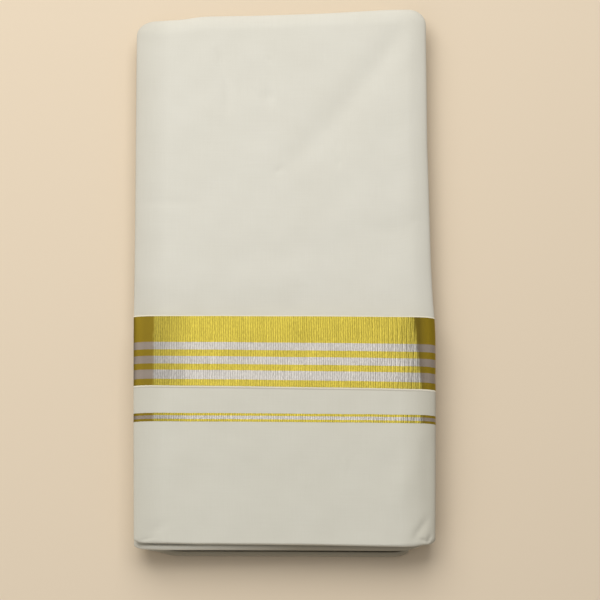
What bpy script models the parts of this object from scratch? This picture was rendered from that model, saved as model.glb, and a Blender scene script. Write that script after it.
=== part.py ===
"""A dhoti folded for the shelf: one uncut length of cotton with a woven zari border, folded
lengthwise into plies and then across into a flat packet, its border end turned up over the front.

The packet lies on its back. X runs across it, +Y from the bottom fold to the top fold, and +Z up
from the surface that it rests on. Each stretch that shows is a wall of pressed plies, and the
layers between the walls are one solid. Sizes are in metres.
"""

import math
from collections import namedtuple

import bmesh
import bpy
import numpy as np

WALL = 0.0022  # the outermost plies of a stretch, pressed together
GAP = 0.0003  # between one stretch and the next
FLAP_TOP = 0.0268  # height of the border flap's face
PANEL_TOP = 0.0212  # height of the plain panel's face
CROWN = 0.0009  # how much lower the faces lie beside the folds than in the middle
SELVAGE = -0.0362  # the flap's free edge, at the packet's middle
SELVAGE_SKEW = 0.0085  # how much nearer the bottom fold it lies for each metre to the right
HEM_CLEARANCE = 0.0006  # between a wall's hem and the layers under it
UPPER_HEM_EDGE = 0.0020  # how far in the layers start under the hem of the flap and the panel
UNDER_HEM_EDGE = 0.0015  # and under the underside's
FOLD_SLACK = 0.0013  # more room inside the walls as they turn round a fold
CORNER_SLACK = 0.0033  # and more again at the corners, where the cloth gathers
FOLD_TUCK = 0.08  # share by which the layers draw back round the folds of the underside
CORNER_TUCK = 0.14  # and round its corners

FLAT_ACROSS = 14  # grid spaces from side to side over the flat of a stretch
FLAP_SPACES = 10  # grid spaces along the flat of the flap
PANEL_SPACES = 12  # grid spaces along the flat of the panel
FOLD_SPACES = 5  # grid spaces round a fold

# The packet's left and right edges seen from above, from the bottom fold to the top fold.
Side = namedtuple("Side", "along left right")
SIDES = (
    Side(along=-0.2020, left=-0.1041, right=0.1060),
    Side(along=-0.1534, left=-0.1049, right=0.1067),
    Side(along=-0.1167, left=-0.1055, right=0.1072),
    Side(along=-0.0527, left=-0.1064, right=0.1079),
    Side(along=-0.0385, left=-0.1065, right=0.1076),
    Side(along=-0.0231, left=-0.1067, right=0.1065),
    Side(along=0.0057, left=-0.1068, right=0.1055),
    Side(along=0.0648, left=-0.1070, right=0.1045),
    Side(along=0.0966, left=-0.1073, right=0.1039),
    Side(along=0.2060, left=-0.1079, right=0.1040),
)

# The bottom and top folds seen from above, from left to right.
End = namedtuple("End", "across foot head")
ENDS = (
    End(across=-0.1079, foot=-0.2018, head=0.1962),
    End(across=-0.0743, foot=-0.2024, head=0.1985),
    End(across=-0.0600, foot=-0.2026, head=0.2010),
    End(across=-0.0155, foot=-0.2028, head=0.2018),
    End(across=0.0286, foot=-0.2031, head=0.2035),
    End(across=0.0764, foot=-0.2038, head=0.2066),
    End(across=0.0900, foot=-0.2053, head=0.2068),
    End(across=0.1079, foot=-0.2036, head=0.2068),
)

# The underside lies a little inside that outline, with edges of its own.
UNDER_SIDES = (
    Side(along=-0.2060, left=-0.0950, right=0.0915),
    Side(along=-0.1750, left=-0.1010, right=0.1015),
    Side(along=0.1700, left=-0.1035, right=0.1000),
    Side(along=0.2060, left=-0.1015, right=0.0985),
)
UNDER_ENDS = (
    End(across=-0.1000, foot=-0.2052, head=0.1925),
    End(across=-0.0583, foot=-0.2061, head=0.1985),
    End(across=0.0047, foot=-0.2063, head=0.2000),
    End(across=0.0677, foot=-0.2068, head=0.2035),
    End(across=0.1000, foot=-0.2066, head=0.2040),
)

# How a stretch turns at its edge: how wide the fold is, the height where it reaches furthest out,
# how far it goes on past that, the angle in degrees that it has turned through at its hem, and how
# far inside the outline it stays.
Fold = namedtuple("Fold", "width middle beyond turn inset", defaults=(0.0,))
FLAP_LEFT = Fold(width=0.0090, middle=0.0140, beyond=0.0120, turn=98)
FLAP_RIGHT = Fold(width=0.0120, middle=0.0130, beyond=0.0120, turn=98)
FLAP_FOOT = Fold(width=0.0046, middle=0.0224, beyond=0.0036, turn=172)
PANEL_LEFT = Fold(width=0.0090, middle=0.0118, beyond=0.0100, turn=96)
PANEL_RIGHT = Fold(width=0.0120, middle=0.0112, beyond=0.0100, turn=96)
PANEL_HEAD = Fold(width=0.0130, middle=0.0122, beyond=0.0100, turn=96)
UNDER_SIDE = Fold(width=0.0130, middle=0.0060, beyond=0.0020, turn=90)
UNDER_FOOT = Fold(width=0.0070, middle=0.0056, beyond=0.0052, turn=154)
UNDER_HEAD = Fold(width=0.0110, middle=0.0060, beyond=0.0020, turn=90)

# The middle layers, where they show between the walls and the underside: how far down that gap
# each line lies, and how far inside the packet's outline, at the sides and at both ends.
Level = namedtuple("Level", "drop side foot head")
MIDDLE_LEVELS = (
    Level(drop=0.00, side=0.0017, foot=0.0016, head=0.0030),
    Level(drop=0.22, side=0.0006, foot=-0.0010, head=0.0014),
    Level(drop=0.48, side=0.0019, foot=-0.0021, head=0.0028),
    Level(drop=0.76, side=0.0009, foot=-0.0012, head=0.0016),
    Level(drop=1.00, side=0.0026, foot=0.0006, head=0.0034),
)

# Soft creases in the faces: a line from its start to its end, how deep it sinks and how wide.
Crease = namedtuple("Crease", "x0 y0 x1 y1 depth width")
PANEL_CREASES = (
    Crease(x0=0.074, y0=0.184, x1=0.012, y1=0.094, depth=0.0008, width=0.011),
    Crease(x0=-0.103, y0=0.052, x1=-0.062, y1=0.052, depth=0.0004, width=0.004),
    Crease(x0=0.060, y0=0.030, x1=0.096, y1=0.034, depth=0.0003, width=0.006),
)
FLAP_CREASES = (
    Crease(x0=0.093, y0=-0.128, x1=0.096, y1=-0.190, depth=0.0007, width=0.005),
    Crease(x0=0.084, y0=-0.194, x1=0.100, y1=-0.199, depth=0.0009, width=0.004),
    Crease(x0=0.030, y0=-0.150, x1=0.055, y1=-0.178, depth=0.0004, width=0.009),
)

# A stretch of cloth: its edges in plan, its lowest and highest lines along, its four folds (None
# where it ends in a straight edge), the function that gives its face's height, whether that face
# looks up (1) or down (-1), the grid spaces along it, and the shares by which it draws back round
# its folds and its corners.
Stretch = namedtuple(
    "Stretch",
    "sides low high left right foot head height up spaces fold_tuck corner_tuck",
    defaults=(0.0, 0.0),
)

# A stretch worked out point by point: where each point lies and the outline beside it, the way it
# faces, the way the cloth goes on, and how far round its fold it lies, with its shares in a
# corner, in the bottom fold and in the top fold.
Grid = namedtuple("Grid", "points outline faces onward shares")


def column(table, key, name, value):
    """One named column of a table, read off at a value of its key column."""
    keys = [getattr(row, key) for row in table]
    return float(np.interp(value, keys, [getattr(row, name) for row in table]))


def blend(first, second, share):
    """A fold part of the way from one fold to another, as it goes round a corner."""
    return Fold(*(a + (b - a) * share for a, b in zip(first, second)))


def sunk(x, y, creases):
    """How far the face sinks here, in all of its creases together."""
    total = 0.0
    for crease in creases:
        run = np.array([crease.x1 - crease.x0, crease.y1 - crease.y0])
        from_start = np.array([x - crease.x0, y - crease.y0])
        along = np.clip(from_start @ run / (run @ run), 0.0, 1.0)
        away = np.linalg.norm(from_start - along * run)
        fade = 0.45 + 0.55 * math.sin(math.pi * along)
        total += crease.depth * fade * math.exp(-((away / crease.width) ** 2))
    return total


def face_height(x, y, top, creases):
    """A face is highest in its middle, falls a little towards the folds and sinks in creases."""
    fall = CROWN * min(1.0, abs(x) / 0.098) ** 3
    return top - fall - sunk(x, y, creases)


def flap_height(x, y):
    return face_height(x, y, FLAP_TOP, FLAP_CREASES)


def panel_height(x, y):
    return face_height(x, y, PANEL_TOP, PANEL_CREASES)


def under_height(x, y):
    return 0.0


def selvage(x, offset):
    """The flap's free edge, which runs a little askew across the packet."""
    return SELVAGE - SELVAGE_SKEW * x + offset


def fold_line(table, name, inset):
    """The line where the flat of a stretch ends and a fold at the packet's end begins."""
    return lambda x: column(table, "across", name, x) + inset


def flap_stretch(offset):
    """The border flap, ending at its selvage or an offset short of it."""
    return Stretch(
        sides=SIDES,
        low=fold_line(ENDS, "foot", FLAP_FOOT.width),
        high=lambda x: selvage(x, offset),
        left=FLAP_LEFT,
        right=FLAP_RIGHT,
        foot=FLAP_FOOT,
        head=None,
        height=flap_height,
        up=1,
        spaces=FLAP_SPACES,
    )


def panel_stretch(offset):
    """The plain panel, starting at the flap's selvage or an offset from it."""
    return Stretch(
        sides=SIDES,
        low=lambda x: selvage(x, offset),
        high=fold_line(ENDS, "head", -PANEL_HEAD.width),
        left=PANEL_LEFT,
        right=PANEL_RIGHT,
        foot=None,
        head=PANEL_HEAD,
        height=panel_height,
        up=1,
        spaces=PANEL_SPACES,
    )


def under_stretch():
    """The underside, with as many lines along it as the flap and the panel have together."""
    return Stretch(
        sides=UNDER_SIDES,
        low=fold_line(UNDER_ENDS, "foot", UNDER_FOOT.width),
        high=fold_line(UNDER_ENDS, "head", -UNDER_HEAD.width),
        left=UNDER_SIDE,
        right=UNDER_SIDE,
        foot=UNDER_FOOT,
        head=UNDER_HEAD,
        height=under_height,
        up=-1,
        spaces=FLAP_SPACES + PANEL_SPACES + 1,
    )


def drawn_inside(stretch):
    """The same stretch drawn in by a wall and a gap, for the layers that fill it."""
    depth = WALL + GAP

    def drawn_in(fold):
        return fold and fold._replace(inset=depth, beyond=max(GAP, fold.beyond - depth))

    return stretch._replace(
        left=drawn_in(stretch.left),
        right=drawn_in(stretch.right),
        foot=drawn_in(stretch.foot),
        head=drawn_in(stretch.head),
        height=lambda x, y: stretch.height(x, y) - stretch.up * depth,
        fold_tuck=FOLD_TUCK,
        corner_tuck=CORNER_TUCK,
    )


def grid_lines(first_fold, spaces, last_fold):
    """The lines of a grid one way. Each has its place over the flat, from 0 to 1, and how far
    round a fold it lies, from 0 to 1, which is negative round the first fold."""
    before = FOLD_SPACES if first_fold else 0
    after = FOLD_SPACES if last_fold else 0
    first = [(0.0, -step / before) for step in range(before, 0, -1)]
    flat = [(step / spaces, 0.0) for step in range(spaces + 1)]
    last = [(1.0, step / after) for step in range(1, after + 1)]
    return first + flat + last


def round_corner(side_turn, end_turn):
    """How far round its fold a point lies, and which way it faces: the fold at the side and the
    fold at the end meet in an even quarter turn at a corner."""
    side, end = abs(side_turn), abs(end_turn)
    turn = max(side, end)
    if turn == 0.0:
        return 0.0, 1.0, 0.0
    angle = math.pi / 4 * min(side, end) / turn
    if end > side:
        angle = math.pi / 2 - angle
    return turn, math.cos(angle), math.sin(angle)


def round_fold(stretch, fold, height, corner, turn):
    """How far out, as a share of the fold's width, and how high above its middle a point lies
    that is this far round it."""
    drawn = 1 - (stretch.fold_tuck + stretch.corner_tuck * corner) * turn
    angle = math.radians(fold.turn) * turn
    rise = height - fold.middle if angle < math.pi / 2 else stretch.up * fold.beyond
    return math.sin(angle) * drawn, rise * math.cos(angle) * drawn


def surface_point(stretch, across, along):
    """A point of a stretch's outer face: its place, the place of the outline straight out from
    there, the way it faces, the way the cloth goes on past it, and its shares in the folds."""
    place_across, side_turn = across
    place_along, end_turn = along
    nominal = stretch.low(0.0) + (stretch.high(0.0) - stretch.low(0.0)) * place_along
    west = column(stretch.sides, "along", "left", nominal) + stretch.left.width
    east = column(stretch.sides, "along", "right", nominal) - stretch.right.width
    x = west + (east - west) * place_across
    y = stretch.low(x) + (stretch.high(x) - stretch.low(x)) * place_along
    height = stretch.height(x, y)

    turn, sideways, endways = round_corner(side_turn, end_turn)
    side = stretch.left if side_turn < 0 else stretch.right
    end = (stretch.foot if end_turn < 0 else stretch.head) or side
    fold = blend(side, end, endways**2)
    reach_x = math.copysign(sideways, side_turn) if side_turn else 0.0
    reach_y = math.copysign(endways, end_turn) if end_turn else 0.0

    corner = min(1.0, 3 * sideways * endways)
    out, above = round_fold(stretch, fold, height, corner, turn)
    point = (
        x + reach_x * (side.width - side.inset) * out,
        y + reach_y * (end.width - end.inset) * out,
        fold.middle + above,
    )
    outline = (x + reach_x * side.width, y + reach_y * end.width, fold.middle)
    last = round_fold(stretch, fold, height, corner, max(0.0, turn - 1 / FOLD_SPACES))
    then = round_fold(stretch, fold, height, corner, min(1.0, turn + 1 / FOLD_SPACES))
    level = np.array([reach_x, reach_y, 0.0])
    run = (then[0] - last[0]) * fold.width
    fall = then[1] - last[1]
    onward = run * level + fall * np.array([0.0, 0.0, 1.0])
    faces = stretch.up * (run * np.array([0.0, 0.0, 1.0]) - fall * level)
    in_foot = endways**2 if end_turn < 0 else 0.0
    in_head = endways**2 if end_turn > 0 else 0.0
    shares = (turn, turn * corner, in_foot, in_head)
    return point, outline, faces / norm(faces), onward / norm(onward), shares


def norm(vector):
    return np.linalg.norm(vector)


def grid_of(stretch):
    """A stretch's outer face as grids of what surface_point tells, row by row."""
    rows = grid_lines(stretch.foot, stretch.spaces, stretch.head)
    columns = grid_lines(stretch.left, FLAT_ACROSS, stretch.right)
    found = [[surface_point(stretch, c, r) for c in columns] for r in rows]
    parts = [[[place[part] for place in row] for row in found] for part in range(5)]
    return Grid(*(np.array(part) for part in parts))


def rim(grid):
    """The border of a grid of values, once round, starting at its first corner."""
    return np.concatenate([grid[0, :-1], grid[:-1, -1], grid[-1, :0:-1], grid[:0:-1, 0]])


def add_piece(name, mesh, colour, roughness):
    """Puts a mesh in the packet's collection with a material of its own."""
    material = bpy.data.materials.new(name + "_cloth")
    material.use_nodes = True
    shader = material.node_tree.nodes["Principled BSDF"]
    shader.inputs["Base Color"].default_value = (*colour, 1.0)
    shader.inputs["Roughness"].default_value = roughness
    shader.inputs["Metallic"].default_value = 0.0
    mesh.materials.append(material)
    mesh.shade_smooth()
    piece = bpy.data.objects.new(name, mesh)
    packet.objects.link(piece)
    return piece


def add_wall(name, points, colour, roughness, flat_inside=False):
    """A stretch of cloth: a grid laid through its points and thickened inwards."""
    sheet = bmesh.new()
    bmesh.ops.create_grid(
        sheet, x_segments=points.shape[1] - 1, y_segments=points.shape[0] - 1, size=1
    )
    for vertex, place in zip(sheet.verts, points.reshape(-1, 3)):
        vertex.co = place
    if flat_inside:
        flatten_bottom(sheet)
    mesh = bpy.data.meshes.new(name)
    sheet.to_mesh(mesh)
    sheet.free()
    wall = add_piece(name, mesh, colour, roughness)
    thickness = wall.modifiers.new("Plies", "SOLIDIFY")
    thickness.thickness = WALL
    thickness.offset = -1
    thickness.use_even_offset = True
    return wall


def flatten_bottom(sheet):
    """Makes one face of the spaces that lie level, and turns the whole grid to face down."""
    bmesh.ops.dissolve_faces(sheet, faces=[face for face in sheet.faces if is_level(face)])
    bmesh.ops.reverse_faces(sheet, faces=sheet.faces[:])


def is_level(face):
    heights = [vertex.co.z for vertex in face.verts]
    return max(heights) - min(heights) < 1e-7


def moved_inside(grid):
    """A grid's points moved in through its wall and a gap, for the layers that fill it. They keep
    further off round the folds and the corners."""
    turn, in_corner, foot, _ = np.moveaxis(grid.shares, 2, 0)
    slack = FOLD_SLACK * turn + CORNER_SLACK * in_corner * (1 - foot**8)
    return grid.points - grid.faces * (WALL + GAP + slack)[:, :, None]


def add_core(name, colour, roughness):
    """The hidden layers as one solid: the inside of the flap and the panel, the middle layers
    that show round the edge under their hems, and the inside of the underside."""
    flap, panel = grid_of(flap_stretch(-0.0005)), grid_of(panel_stretch(-0.0002))
    upper = Grid(*(np.concatenate(pair) for pair in zip(flap, panel)))
    under = grid_of(under_stretch())
    top = moved_inside(upper)
    bottom = grid_of(drawn_inside(under_stretch())).points

    hem = Grid(*(rim(part) for part in upper))
    under_hem = Grid(*(rim(part) for part in under))
    _, in_corner, foot, head = under_hem.shares.T
    clearance = (HEM_CLEARANCE + CORNER_SLACK * in_corner)[:, None]
    edge = (UPPER_HEM_EDGE + (-GAP - UPPER_HEM_EDGE) * foot)[:, None]
    under_edge = (UNDER_HEM_EDGE + (-GAP - UNDER_HEM_EDGE) * foot)[:, None]
    beyond_hem = hem.points + hem.onward * clearance
    beyond_under_hem = under_hem.points + under_hem.onward * clearance
    upper_edge = beyond_hem - hem.faces * edge
    lower_edge = beyond_under_hem - under_hem.faces * under_edge
    facing = np.zeros_like(hem.points)
    facing[:, 0] = np.sign(hem.outline[:, 0]) * np.sqrt(1 - foot - head)
    facing[:, 1] = np.sign(hem.outline[:, 1]) * np.sqrt(foot + head)

    rings = [rim(top), beyond_hem - hem.faces * (WALL + GAP), upper_edge]
    gathered = in_corner[:, None]
    for level in MIDDLE_LEVELS:
        inset = level.side + (level.foot - level.side) * foot**3 + (level.head - level.side) * head
        between = upper_edge + (lower_edge - upper_edge) * level.drop
        ring = (hem.outline - facing * inset[:, None]) * (1 - gathered) + between * gathered
        ring[:, 2] = between[:, 2]
        rings.append(ring)
    rings.append(lower_edge)
    rings.append(beyond_under_hem - under_hem.faces * (WALL + GAP))
    rings.append(rim(bottom))
    return loft(name, top, rings, bottom, colour, roughness)


def loft(name, top, rings, bottom, colour, roughness):
    """Closes a solid from its top grid, the rings round its edge and its bottom grid."""
    solid = bmesh.new()
    rows, columns = top.shape[:2]
    grids = []
    for grid in (top, bottom):
        flat = [solid.verts.new(place) for place in grid.reshape(-1, 3)]
        table = np.empty((rows, columns), dtype=object)
        table[:] = np.array(flat, dtype=object).reshape(rows, columns)
        grids.append(table)
    between = [[solid.verts.new(place) for place in ring] for ring in rings[1:-1]]
    loops = [list(rim(grids[0]))] + between + [list(rim(grids[1]))]
    for table, upright in zip(grids, (True, False)):
        for row in range(rows - 1):
            for place in range(columns - 1):
                corners = [
                    table[row, place],
                    table[row, place + 1],
                    table[row + 1, place + 1],
                    table[row + 1, place],
                ]
                solid.faces.new(corners if upright else corners[::-1])
    for upper, lower in zip(loops, loops[1:]):
        for place in range(len(upper)):
            after = (place + 1) % len(upper)
            solid.faces.new((upper[place], lower[place], lower[after], upper[after]))
    level = [face for face in solid.faces if is_level(face)]
    bmesh.ops.dissolve_faces(solid, faces=level)
    bmesh.ops.recalc_face_normals(solid, faces=solid.faces[:])
    mesh = bpy.data.meshes.new(name)
    solid.to_mesh(mesh)
    solid.free()
    return add_piece(name, mesh, colour, roughness)


for old in list(bpy.data.objects):
    bpy.data.objects.remove(old, do_unlink=True)
packet = bpy.data.collections.new("Folded dhoti")
bpy.context.scene.collection.children.link(packet)

add_wall("border_flap", grid_of(flap_stretch(0.0)).points, (0.62, 0.51, 0.17), 0.55)
add_wall("front_panel", grid_of(panel_stretch(GAP)).points, (0.72, 0.68, 0.59), 0.85)
add_wall("under_panel", grid_of(under_stretch()).points, (0.70, 0.66, 0.56), 0.85, flat_inside=True)
add_core("folded_core", (0.66, 0.62, 0.52), 0.9)
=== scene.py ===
"""A dhoti folded for the shelf: one uncut length of cream cotton with a border of gold and silver
zari, folded into plies, then into a flat packet, its border end turned up over the front.

The packet lies on its back. X runs across it, +Y from the bottom fold to the top fold, and +Z up
from the floor. Sizes are in metres.
"""

import math
from collections import namedtuple

import bmesh
import bpy
import numpy as np
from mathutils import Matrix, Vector


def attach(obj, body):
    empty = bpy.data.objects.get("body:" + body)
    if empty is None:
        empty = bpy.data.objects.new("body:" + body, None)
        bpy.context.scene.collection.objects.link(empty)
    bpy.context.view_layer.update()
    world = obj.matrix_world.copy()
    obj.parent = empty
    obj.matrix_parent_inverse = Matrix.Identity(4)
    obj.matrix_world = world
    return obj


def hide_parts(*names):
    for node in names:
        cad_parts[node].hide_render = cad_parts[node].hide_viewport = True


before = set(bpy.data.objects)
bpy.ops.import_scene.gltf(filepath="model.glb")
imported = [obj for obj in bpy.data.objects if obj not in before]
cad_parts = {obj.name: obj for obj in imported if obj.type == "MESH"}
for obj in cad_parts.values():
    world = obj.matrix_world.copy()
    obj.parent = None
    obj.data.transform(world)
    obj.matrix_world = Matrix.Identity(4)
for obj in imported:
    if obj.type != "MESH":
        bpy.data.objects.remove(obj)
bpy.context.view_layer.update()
scene = bpy.context.scene


# ------------------------------------------------------------------------------------------------
# The camera looks down on the packet from a little beyond its bottom fold, through a long lens.

CAMERA_RISE = 71.0  # degrees above the floor
CAMERA_REACH = 2.6
CAMERA_AIM = Vector((0.01167, -0.0191, 0.012))
CAMERA_LENS = 218.2  # millimetres
CAMERA_SENSOR = 36.0

rise = math.radians(CAMERA_RISE)
camera_data = bpy.data.cameras.new("Camera")
camera_data.lens = CAMERA_LENS
camera_data.sensor_width = CAMERA_SENSOR
camera = bpy.data.objects.new("Camera", camera_data)
camera.location = CAMERA_AIM + CAMERA_REACH * Vector((0.0, -math.cos(rise), math.sin(rise)))
camera.rotation_euler = (math.radians(90.0) - rise, 0.0, 0.0)
scene.collection.objects.link(camera)
scene.camera = camera


# ------------------------------------------------------------------------------------------------
# The table top is plain and pale. A wide soft lamp hangs beyond the top end of the packet, a little
# to the left, a weaker one stands at the bottom left, and a warm white room fills the shadows.

FLOOR_WIDTH = 12.0
FLOOR_COLOUR = (0.745, 0.630, 0.482)
FLOOR_ROUGHNESS = 0.9
FLOOR_SPECULAR = 0.1
ROOM_COLOUR = (1.0, 0.98, 0.95)
ROOM_STRENGTH = 0.29
Lamp = namedtuple("Lamp", "place size power")
LAMPS = {
    "Top lamp": Lamp(place=Vector((-0.24, 0.80, 1.26)), size=1.8, power=25.5),
    "Front lamp": Lamp(place=Vector((-0.70, -0.95, 1.10)), size=1.6, power=4.0),
}
LAMP_COLOUR = (1.0, 0.985, 0.96)
LIT_PLACE = Vector((0.0, 0.0, 0.02))

scene.view_settings.view_transform = "Standard"

bpy.ops.object.select_all(action="DESELECT")
bpy.ops.mesh.primitive_plane_add(size=FLOOR_WIDTH, location=(0.0, 0.0, 0.0))
floor = bpy.context.object
floor.name = "floor"
floor_paint = bpy.data.materials.new("floor_paint")
floor_paint.use_nodes = True
floor_shader = floor_paint.node_tree.nodes["Principled BSDF"]
floor_shader.inputs["Base Color"].default_value = (*FLOOR_COLOUR, 1.0)
floor_shader.inputs["Roughness"].default_value = FLOOR_ROUGHNESS
floor_shader.inputs["Specular IOR Level"].default_value = FLOOR_SPECULAR
floor.data.materials.append(floor_paint)

room = bpy.data.worlds.new("Room")
room.use_nodes = True
room.node_tree.nodes["Background"].inputs["Color"].default_value = (*ROOM_COLOUR, 1.0)
room.node_tree.nodes["Background"].inputs["Strength"].default_value = ROOM_STRENGTH
scene.world = room

for name, light in LAMPS.items():
    lamp_data = bpy.data.lights.new(name, "AREA")
    lamp_data.shape = "SQUARE"
    lamp_data.size = light.size
    lamp_data.energy = light.power
    lamp_data.color = LAMP_COLOUR
    lamp = bpy.data.objects.new(name, lamp_data)
    lamp.location = light.place
    lamp.rotation_euler = (LIT_PLACE - light.place).to_track_quat("-Z", "Y").to_euler()
    scene.collection.objects.link(lamp)


# ------------------------------------------------------------------------------------------------
# The border flap is the end of the folded strip, turned up over the front from the bottom fold.
# Its free edge is the woven selvage, with the zari border below it, and its outermost ply rolls
# down over both sides. The border is part of the weave: nothing is sewn on.

PLY = 0.0006  # thickness of the ply that shows
FLAP_TOP = 0.0268  # height of its face
CROWN = 0.0009  # how much lower the face lies beside the folds than in the middle
CROWN_HALF = 0.098  # and how far from the middle that is
SELVAGE = -0.0354  # the free edge, at the packet's middle
SELVAGE_SKEW = 0.0046  # how much nearer the bottom fold it lies for each metre to the right
EASE = 0.005  # how far the turns in a table's sizes are rounded, either way
EASE_READINGS = 6
FLAT_SPACES = 150  # grid spaces from side to side over a flat face
FOLD_SPACES = 26  # grid spaces round a fold
FLAP_SPACES = 130  # grid spaces along the flat of the flap

# The packet's left and right edges seen from above, from the bottom fold to the top fold.
Side = namedtuple("Side", "along left right")
SIDES = (
    Side(along=-0.2020, left=-0.1041, right=0.1060),
    Side(along=-0.1534, left=-0.1049, right=0.1067),
    Side(along=-0.1167, left=-0.1055, right=0.1072),
    Side(along=-0.0527, left=-0.1064, right=0.1079),
    Side(along=-0.0385, left=-0.1065, right=0.1076),
    Side(along=-0.0231, left=-0.1067, right=0.1065),
    Side(along=0.0057, left=-0.1068, right=0.1055),
    Side(along=0.0648, left=-0.1070, right=0.1045),
    Side(along=0.0966, left=-0.1073, right=0.1039),
    Side(along=0.2060, left=-0.1079, right=0.1040),
)

# The bottom and top folds seen from above, from left to right: the flap's bottom fold, how far it
# is from the flat to the fold's edge there, the second fold under it, and the top fold.
End = namedtuple("End", "across foot reach second head")
ENDS = (
    End(across=-0.1079, foot=-0.2017, reach=0.0050, second=-0.2049, head=0.1952),
    End(across=-0.0940, foot=-0.2022, reach=0.0040, second=-0.2055, head=0.1961),
    End(across=-0.0850, foot=-0.2025, reach=0.0018, second=-0.2058, head=0.1968),
    End(across=-0.0743, foot=-0.2027, reach=0.0010, second=-0.2059, head=0.1974),
    End(across=-0.0600, foot=-0.2031, reach=0.0009, second=-0.2058, head=0.1999),
    End(across=-0.0155, foot=-0.2034, reach=0.0009, second=-0.2058, head=0.2007),
    End(across=0.0286, foot=-0.2039, reach=0.0009, second=-0.2058, head=0.2023),
    End(across=0.0764, foot=-0.2049, reach=0.0012, second=-0.2059, head=0.2053),
    End(across=0.0840, foot=-0.2049, reach=0.0022, second=-0.2057, head=0.2054),
    End(across=0.0890, foot=-0.2049, reach=0.0034, second=-0.2051, head=0.2055),
    End(across=0.0930, foot=-0.2045, reach=0.0044, second=-0.2036, head=0.2055),
    End(across=0.1006, foot=-0.2022, reach=0.0070, second=-0.2002, head=0.2055),
    End(across=0.1079, foot=-0.1986, reach=0.0085, second=-0.1960, head=0.2055),
)

# How far it is from the flap's flat to the edge of its side folds, from the bottom fold up.
Roll = namedtuple("Roll", "along left right")
FLAP_ROLLS = (
    Roll(along=-0.2020, left=0.0110, right=0.0090),
    Roll(along=-0.1900, left=0.0120, right=0.0105),
    Roll(along=-0.1700, left=0.0125, right=0.0138),
    Roll(along=-0.0300, left=0.0125, right=0.0140),
)

# How a stretch turns at its edge: the height where it reaches furthest out, how far it goes on past
# that, and the angles in degrees at which it leaves the flat face, more than 0 if a crease is
# pressed there, and at which it ends.
Fold = namedtuple("Fold", "middle beyond start turn")
FLAP_LEFT = Fold(middle=0.0229, beyond=0.0028, start=22, turn=176)
FLAP_RIGHT = Fold(middle=0.0213, beyond=0.0026, start=7, turn=176)
FLAP_FOOT = Fold(middle=0.0250, beyond=0.0020, start=0, turn=176)
CORNER_DROOP = 0.0021  # how much the corners at its bottom fold hang down on to the panel
DROOP_FROM = 0.078  # how far from the middle they start to
DROOP_RUN = 0.020  # and over what width that grows

# Soft creases in a face: a line from its start to its end, how deep it sinks, which is negative for
# a ridge, and how wide it is. Each one fades towards its ends.
Crease = namedtuple("Crease", "x0 y0 x1 y1 depth width")
CREASE_END = 0.45  # how deep a crease still is at its ends, as a share of its depth
FLAP_CREASES = (
    Crease(x0=0.1000, y0=-0.1850, x1=0.0912, y1=-0.1995, depth=0.0013, width=0.0026),
    Crease(x0=0.0935, y0=-0.1996, x1=0.1005, y1=-0.2012, depth=0.0009, width=0.0013),
    Crease(x0=0.1026, y0=-0.1965, x1=0.1004, y1=-0.2018, depth=0.0011, width=0.0012),
    Crease(x0=0.1000, y0=-0.1300, x1=0.1010, y1=-0.1800, depth=0.0005, width=0.0040),
    Crease(x0=0.0990, y0=-0.1200, x1=0.0700, y1=-0.1980, depth=-0.0006, width=0.0085),
    Crease(x0=0.0430, y0=-0.1400, x1=0.0436, y1=-0.1490, depth=-0.0003, width=0.0018),
    Crease(x0=0.0118, y0=-0.1090, x1=0.0122, y1=-0.1130, depth=-0.0003, width=0.0018),
    Crease(x0=-0.0960, y0=-0.1975, x1=-0.0800, y1=-0.1870, depth=0.0004, width=0.0040),
    Crease(x0=-0.1000, y0=-0.2005, x1=-0.0900, y1=-0.1985, depth=0.0005, width=0.0012),
    Crease(x0=-0.0600, y0=-0.1200, x1=-0.0150, y1=-0.1280, depth=0.00015, width=0.0060),
)

# The slow unevenness of pressed cotton: how high each swell is, its length, its heading in
# degrees and where it starts in its cycle.
Swell = namedtuple("Swell", "height length heading start")
SWELLS = (
    Swell(height=0.00012, length=0.071, heading=20, start=0.3),
    Swell(height=0.00010, length=0.043, heading=97, start=2.1),
    Swell(height=0.00006, length=0.026, heading=141, start=4.0),
    Swell(height=0.00004, length=0.017, heading=62, start=1.2),
)
SWELL_BEND = 0.12  # how far a swell's front bends, as a share of its length
SWELL_BENDS = (37.0, -29.0)  # radians of those bends to a metre across and along the packet
SWELL_SINK = 0.0002  # how far the swells' own level lies under the face's height

# A stretch of cloth: its edges in plan, the lines along which its flat starts and ends, how far
# each of its four folds reaches past its flat, the folds themselves (None where it ends in a
# straight edge), the height of its face, its creases, and whether it looks up (1) or down (-1).
Stretch = namedtuple(
    "Stretch", "sides low high left_reach right_reach low_reach high_reach left right foot head "
    "top crown creases up")


def column(table, key, name, value):
    """One named column of a table, read off at values of its key column, with its turns eased."""
    keys = [getattr(row, key) for row in table]
    entries = [getattr(row, name) for row in table]
    near = np.asarray(value)[..., None] + np.linspace(-EASE, EASE, EASE_READINGS)
    return np.interp(near, keys, entries).mean(axis=-1)


def sunk(x, y, creases):
    """How far a face sinks in all of its creases together."""
    total = np.zeros_like(x)
    for crease in creases:
        run = np.array([crease.x1 - crease.x0, crease.y1 - crease.y0])
        along = np.clip(((x - crease.x0) * run[0] + (y - crease.y0) * run[1]) / (run @ run), 0, 1)
        away = np.hypot(x - crease.x0 - along * run[0], y - crease.y0 - along * run[1])
        fade = CREASE_END + (1 - CREASE_END) * np.sin(math.pi * along)
        total += crease.depth * fade * np.exp(-((away / crease.width) ** 2))
    return total


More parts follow.
